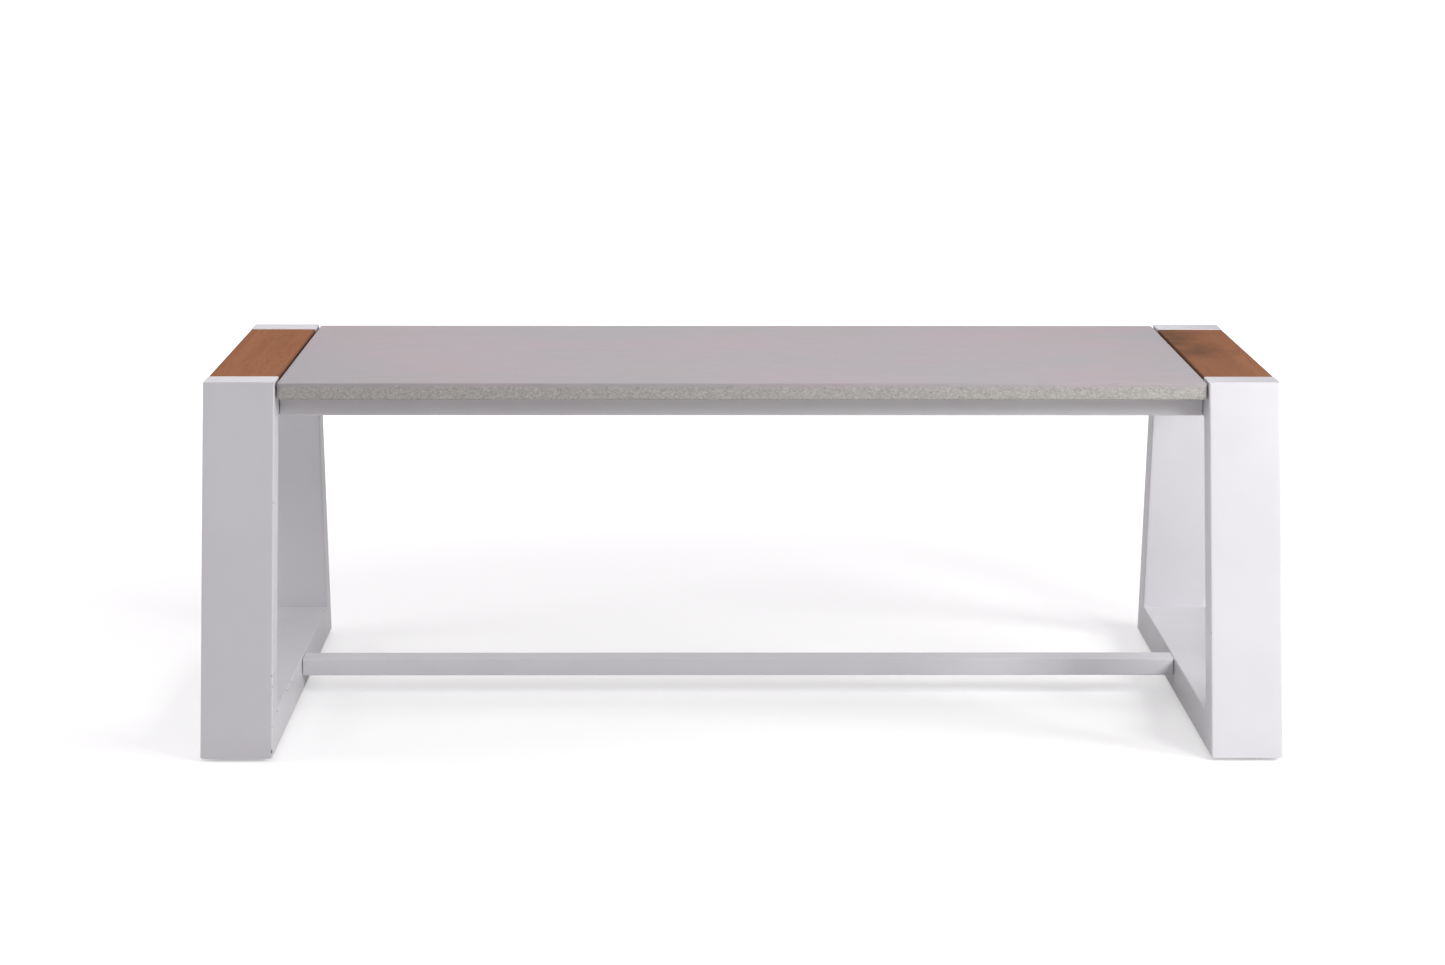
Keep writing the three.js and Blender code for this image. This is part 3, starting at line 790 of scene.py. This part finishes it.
# %% Top rail
low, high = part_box("right_top_rail")
top_z, under_z = high.z, low.z
top_rail = straight_tube(
    "right_head_rail", (low.x, low.y - SPARE, low.z), (high.x, high.y + SPARE, high.z), 1,
    FRAME_WALL, FRAME_CORNER)
lean_in = Vector((0, -math.cos(LEG_ANGLE), math.sin(LEG_ANGLE)))
saw(top_rail, (0, inner_y(top_z), top_z), lean_in)
saw(top_rail, (0, -inner_y(top_z), top_z), (0, -lean_in.y, lean_in.z))
screw_places = [middle_of(f"right_teak_screw_{where}") for where in ("front", "middle", "back")]
carve(
    top_rail, *bolt_pegs("front_seat_rail"), *bolt_pegs("back_seat_rail"),
    *(peg(DRIVER_HOLE_R, (p.x, p.y, under_z), 2, 3 * FRAME_WALL) for p in screw_places))
smooth(top_rail)
print("top rail faces:", len(top_rail.data.polygons))

# %% [markdown]
# ## Teak board
# A board fills the top of each frame, a hair below the paint. It starts as a block, its top is
# narrowed so that its ends follow the legs, and its edges are eased as a plane would leave them.

# %% First teak board
TEAK_EASE = 1.2 * MM
low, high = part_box("right_teak_board")
board = start_block("right_teak_top", low, high)
pick(board, "FACE", lambda centre, normal: normal.z > MOSTLY)
shrink = 1 - 2 * LEAN * (high.z - low.z) / (high.y - low.y)
bpy.ops.transform.resize(value=(1, shrink, 1))
done()
bevel_edges(board, lambda a, b: True, TEAK_EASE)
for x in (low.x + EDGE_REACH, high.x - EDGE_REACH):
    score_line(board, (x, 0, 0), (1, 0, 0))
edge_attribute(board, lambda co: min(co.x - low.x, high.x - co.x))
smooth(board)
print("teak board in mm:", [round(v / MM, 1) for v in high - low])

# %% [markdown]
# ## Long rails, cross members and pads
# The two seat rails and the stretcher are one slim box section, bolted through the frames, with a
# hairline joint at each end. Cross members keep the seat rails apart. Rubber pads carry the slab.

# %% Rails and cross members
rails = []
for name, piece_name in (
        ("front_seat_rail", "front_apron_tube"), ("back_seat_rail", "back_apron_tube"),
        ("stretcher", "stretcher_tube")):
    low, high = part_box(name)
    rail = straight_tube(piece_name, low, high, 0, RAIL_WALL, RAIL_CORNER, LESS_WEAR)
    rails.append((smooth(rail), name))

low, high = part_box("left_cross_member")
GAP_TO_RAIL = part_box("back_seat_rail")[0].y - high.y
low.y -= GAP_TO_RAIL
high.y += GAP_TO_RAIL
member = smooth(straight_tube("left_cross_tube", low, high, 1, RAIL_WALL, RAIL_CORNER))
print("rails:", [name for _, name in rails], "gap closed in mm", round(GAP_TO_RAIL / MM, 2))

# %% Pads
PAD_CORNER = 4 * MM
PAD_EASE = 0.4 * MM
pad_places = [
    f"{row}_{where}" for row in ("front", "back") for where in ("left", "middle", "right")]
first_pad = start_block(f"rubber_pad_{pad_places[0]}", *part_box(f"slab_pad_{pad_places[0]}"))
bevel_edges(first_pad, runs_along(2), PAD_CORNER, 4)
bevel_edges(first_pad, lambda a, b: abs(a.z - b.z) < HAIR, PAD_EASE, 2)
smooth(first_pad)
pads = [(first_pad, f"slab_pad_{pad_places[0]}")]
for place_name in pad_places[1:]:
    cad_name = f"slab_pad_{place_name}"
    move = Matrix.Translation(middle_of(cad_name) - middle_of(f"slab_pad_{pad_places[0]}"))
    pads.append((copy_of(first_pad, f"rubber_pad_{place_name}", move), cad_name))
print("pads:", len(pads))

# %% [markdown]
# ## Seat slab
# The slab is sawn, its top is honed, and its sides are left rough. It starts as a block with eased
# corners. The sides are then cut into small cells, and a displacement with a cloud pattern pushes
# them in by fractions of a millimetre, so the rough edge is real and shows in the outline.

# %% Slab shape
SLAB_CORNER = 4 * MM
TOP_EASE = 2.2 * MM
BOTTOM_EASE = 2.6 * MM
CELL = 3.2 * MM

slab_low, slab_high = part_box("seat_slab")
slab = start_block("stone_seat", slab_low, slab_high)
bevel_edges(slab, runs_along(2), SLAB_CORNER, 3)
bevel_edges(slab, lambda a, b: min(a.z, b.z) > slab_high.z - HAIR, TOP_EASE, 3)
bevel_edges(slab, lambda a, b: max(a.z, b.z) < slab_low.z + HAIR, BOTTOM_EASE, 3)


def divide_edges(piece, axis):
    """Cuts the long edges that run along one axis into cells."""
    size = slab_high[axis] - slab_low[axis]
    pick(piece, "EDGE", lambda a, b: abs(b[axis] - a[axis]) > size / 2)
    bpy.ops.mesh.subdivide(number_cuts=round(size / CELL) - 1, ngon=True)
    done()


for axis in (2, 1, 0):
    divide_edges(slab, axis)
print("slab faces:", len(slab.data.polygons))

# %% Slab surface
RAGGED_HEIGHT = 7 * MM
BROKEN = (9 * MM, 0.6 * MM)  # size and depth
PITTED = (3.5 * MM, 0.5 * MM)
ROUGH_GROUP = "rough"
side_group = slab.vertex_groups.new(name=ROUGH_GROUP)
rough_from = slab_high.z - 0.6 * TOP_EASE
rough_values = []
for v in slab.data.vertices:
    rough_values.append(max(0.0, min(1.0, (rough_from - v.co.z) / RAGGED_HEIGHT)))
    share = max(0.0, min(1.0, (rough_from - v.co.z) / (0.5 * TOP_EASE)))
    on_underside = v.co.z < slab_low.z + HAIR
    side_group.add([v.index], 0.0 if on_underside else share, "REPLACE")
attribute = slab.data.attributes.new("rough_side", "FLOAT", "POINT")
attribute.data.foreach_set("value", rough_values)

for name, (size, depth) in (("broken", BROKEN), ("pitted", PITTED)):
    pattern = bpy.data.textures.new(name, "CLOUDS")
    pattern.noise_scale = size
    pattern.noise_depth = 3
    work_on(slab)
    push = slab.modifiers.new(name, "DISPLACE")
    push.texture = pattern
    push.texture_coords = "LOCAL"
    push.vertex_group = ROUGH_GROUP
    push.mid_level = 1.0
    push.strength = depth
    bpy.ops.object.modifier_apply(modifier=push.name)
smooth(slab, math.radians(50))
print("rough side points:", sum(1 for v in rough_values if v > 0.5))

# %% [markdown]
# ## Glides and plugs
# A glide is a turned nylon foot: a wide disc, and a barbed stem pressed into the rail. A plug is a
# low cap with a short hollow skirt that grips the hole. Both are drawn from a cylinder by inset and
# extrude, as you would do by hand.

# %% First glide
glide_low, glide_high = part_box("right_front_glide")
glide_middle = (glide_low + glide_high) / 2
DISC_TOP = FOOT_Z
GLIDE_R = (glide_high.x - glide_low.x) / 2
STEM_R = 4 * MM
BARB_R = 5 * MM
BARB_LIP = 0.05 * MM
BARB_TIP = 0.45  # of the barb's width
DISC_EASE, SOLE_EASE = 0.4 * MM, 0.9 * MM
disc_height = DISC_TOP - glide_low.z
disc_centre = (glide_middle.x, glide_middle.y, glide_low.z + disc_height / 2)
glide = peg(GLIDE_R, disc_centre, 2, disc_height, 64)
glide.name = glide.data.name = "right_front_foot_glide"


def grow(piece, test, inset=0.0, rise=0.0, spread=1.0):
    """Insets the faces that pass the test, then pulls them up and widens or narrows them."""
    pick(piece, "FACE", test)
    if inset:
        bpy.ops.mesh.inset(thickness=inset)
    if rise:
        bpy.ops.mesh.extrude_region_move(TRANSFORM_OT_translate={"value": (0, 0, rise)})
    if spread != 1.0:
        bpy.ops.transform.resize(value=(spread,) * 3)
    done()


def faces_up_at(z):
    return lambda centre, normal: normal.z > MOSTLY and abs(centre.z - z) < HAIR


def rim_at(z):
    return lambda a, b: abs(a.z - z) < HAIR and abs(b.z - z) < HAIR


stem = FRAME_WALL + 0.3 * MM
grow(glide, faces_up_at(DISC_TOP), inset=GLIDE_R - STEM_R, rise=stem)
grow(glide, faces_up_at(DISC_TOP + stem), rise=BARB_LIP, spread=BARB_R / STEM_R)
barb = DISC_TOP + stem + BARB_LIP
grow(glide, faces_up_at(barb), rise=glide_high.z - barb, spread=BARB_TIP)
bevel_edges(glide, rim_at(glide_low.z), SOLE_EASE)


def disc_rim(a, b):
    return rim_at(DISC_TOP)(a, b) and (a.xy - glide_middle.xy).length > GLIDE_R / 2


bevel_edges(glide, disc_rim, DISC_EASE, 2)
smooth(glide, math.radians(40))
print("glide in mm:", [round(v / MM, 1) for v in glide_high - glide_low])

# %% First plug
plug_low, plug_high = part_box("stretcher_right_plug")
plug_middle = (plug_low + plug_high) / 2
FLANGE_R = (plug_high.y - plug_low.y) / 2
FLANGE_H = 1.5 * MM
SKIRT_R = 7.7 * MM
SKIRT_WALL = 1.5 * MM
FLANGE_EASE = 0.9 * MM
FLANGE_RING = 3 * MM
skirt = (plug_high.x - plug_low.x) - FLANGE_H
plug = peg(FLANGE_R, (0, 0, FLANGE_H / 2), 2, FLANGE_H, 48)
plug.name = plug.data.name = "stretcher_right_hole_plug"


def faces_down(centre, normal):
    return normal.z < -MOSTLY and centre.z < HAIR


grow(plug, faces_down, inset=FLANGE_R - SKIRT_R, rise=-skirt)
pick(plug, "FACE", lambda centre, normal: normal.z < -MOSTLY and centre.z < -skirt / 2)
bpy.ops.mesh.inset(thickness=SKIRT_WALL)
bpy.ops.mesh.extrude_region_move(TRANSFORM_OT_translate={"value": (0, 0, skirt)})
done()
bevel_edges(plug, rim_at(FLANGE_H), FLANGE_EASE, 4)
grow(plug, faces_up_at(FLANGE_H), inset=FLANGE_RING)
smooth(plug, math.radians(40))
stand = Matrix.Rotation(math.pi / 2, 4, "Y")
seat_at = Matrix.Translation((plug_high.x - FLANGE_H, plug_middle.y, plug_middle.z))
plug.data.transform(seat_at @ stand)
print("plug in mm:", [round(v / MM, 1) for v in plug_high - plug_low])

# %% [markdown]
# ## Copies
# The bench is the same front to back and left to right. The front leg turned half a turn about the
# middle of its frame is the back leg, and the whole right frame turned about the middle of the
# bench is the left frame. Every copy gets its own mesh.

# %% Make every copy
about_frame = half_turn(FRAME_MIDDLE)
about_bench = half_turn()
pieces = []


def add(piece, cad_node, slot, material):
    pieces.append((piece, cad_node, slot, material))


for first, kind, piece_kind, slot, material in (
        (leg, "leg", "leg_tube", "frame_paint", paint),
        (cap, "leg_cap", "leg_top", "frame_paint", paint),
        (glide, "glide", "foot_glide", "glide_nylon", nylon)):
    back = copy_of(first, f"right_back_{piece_kind}", about_frame)
    add(first, f"right_front_{kind}", slot, material)
    add(back, f"right_back_{kind}", slot, material)
    for near, row in ((first, "back"), (back, "front")):
        far = copy_of(near, f"left_{row}_{piece_kind}", about_bench)
        add(far, f"left_{row}_{kind}", slot, material)
for first, kind, piece_kind, slot, material in (
        (foot_rail, "bottom_rail", "foot_rail", "frame_paint", paint),
        (top_rail, "top_rail", "head_rail", "frame_paint", paint),
        (board, "teak_board", "teak_top", "teak", teak)):
    add(first, f"right_{kind}", slot, material)
    add(copy_of(first, f"left_{piece_kind}", about_bench), f"left_{kind}", slot, material)
for rail, name in rails:
    add(rail, name, "frame_paint", paint)
add(member, "left_cross_member", "frame_paint", paint)
spacing = middle_of("right_cross_member") - middle_of("left_cross_member")
add(copy_of(member, "right_cross_tube", Matrix.Translation(spacing)), "right_cross_member",
    "frame_paint", paint)
for pad, name in pads:
    add(pad, name, "pad_rubber", rubber)
add(slab, "seat_slab", "seat_stone", stone)
for rail_name in ("stretcher", "front_seat_rail", "back_seat_rail"):
    right = plug
    if rail_name != "stretcher":
        to_rail = Matrix.Translation(middle_of(f"{rail_name}_right_plug") - plug_middle)
        right = copy_of(plug, f"{rail_name}_right_hole_plug", to_rail)
    there = middle_of(f"{rail_name}_left_plug")
    turned = about_bench @ Matrix.Translation((0, -2 * there.y, 0))
    add(right, f"{rail_name}_right_plug", "plug_plastic", plug_white)
    add(copy_of(right, f"{rail_name}_left_hole_plug", turned), f"{rail_name}_left_plug",
        "plug_plastic", plug_white)
print("pieces:", len(pieces))

# %% Dress and attach every piece
for piece, cad_node, slot, material in pieces:
    piece.data.materials.clear()
    piece.data.materials.append(material)
    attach(piece, "root")
    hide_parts(cad_node)

for name, cad_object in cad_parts.items():
    if not cad_object.hide_render:
        for material_slot in cad_object.material_slots:
            material_slot.material = zinc
kept = sorted(name for name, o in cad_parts.items() if not o.hide_render)
print("CAD nodes kept with a zinc finish:", len(kept))

# %% [markdown]
# ## Studio
# The floor and surroundings are plain and pale. A wide soft light hangs overhead and another stands
# behind, so the tops are lit evenly. Two nearer ones stand at the right, so the right leg is
# brighter than the left, and a weak one at the left opens the shadows. A studio floor that is lit
# this softly would look grey, so it glows a little for the camera only: less near the bench, where
# its shadow has to show, and more far away. The light from all round is a trace pink, as it is in
# a room with warm walls, so the shaded paint looks lilac.

# %% Floor
FLOOR_SIZE = 60.0
NEAR_FLOOR, FAR_FLOOR = 0.9, 3.0
NEAR_GLOW, FAR_GLOW = 0.42, 1.0
FLOOR_DROP = 0.2 * MM
nothing_selected()
bpy.ops.mesh.primitive_plane_add(size=FLOOR_SIZE, location=(0, 0, -FLOOR_DROP))
floor = bpy.context.object
floor.name = "studio_floor"
floor_paint, tree, shader = new_material("studio_floor", (0.8, 0.8, 0.8), 0.9, **{
    "Emission Color": (1, 1, 1, 1)})
distance = node(tree, "VectorMath", {0: object_place(tree)}, operation="LENGTH").outputs["Value"]
glow = ramp(tree, distance, NEAR_FLOOR, FAR_FLOOR, NEAR_GLOW, FAR_GLOW)
seen = node(tree, "LightPath").outputs["Is Camera Ray"]
tree.links.new(work_out(tree, "MULTIPLY", glow, seen), shader.inputs["Emission Strength"])
floor.data.materials.append(floor_paint)

# %% Lights
WORLD_LEVEL = 0.255
WORLD_TINT = (1.0, 0.925, 1.02)
scene = bpy.context.scene
scene.view_settings.view_transform = "Standard"
world = bpy.data.worlds.new("studio")
world.use_nodes = True
tree = world.node_tree
seen = node(tree, "LightPath").outputs["Is Camera Ray"]
tree.links.new(blend_colours(tree, seen, (*WORLD_TINT, 1), (1, 1, 1, 1)),
               tree.nodes["Background"].inputs["Color"])
tree.links.new(ramp(tree, seen, 0, 1, WORLD_LEVEL, 1.0),
               tree.nodes["Background"].inputs["Strength"])
scene.world = world


def soft_light(name, place, aim, width, height, power):
    data = bpy.data.lights.new(name, "AREA")
    data.shape = "RECTANGLE"
    data.size, data.size_y = width, height
    data.energy = power
    light = bpy.data.objects.new(name, data)
    scene.collection.objects.link(light)
    light.location = place
    light.rotation_euler = (Vector(aim) - Vector(place)).to_track_quat("-Z", "Y").to_euler()
    return light


soft_light("overhead", (-0.75, 0.1, 2.4), (-0.2, 0.1, 0), 2.6, 2.0, 15)
soft_light("front_right", (1.5, -1.7, 1.2), (0.5, -0.2, 0.25), 0.5, 0.5, 15)
soft_light("right", (2.3, -1.0, 1.4), (0.5, -0.2, 0.25), 0.9, 0.9, 29)
soft_light("behind", (-0.05, 2.8, 1.6), (0, 0, 0.25), 2.2, 1.2, 14)
soft_light("left_fill", (-2.4, -0.3, 0.9), (-0.5, 0, 0.25), 1.0, 1.0, 11.5)
print("studio ready")
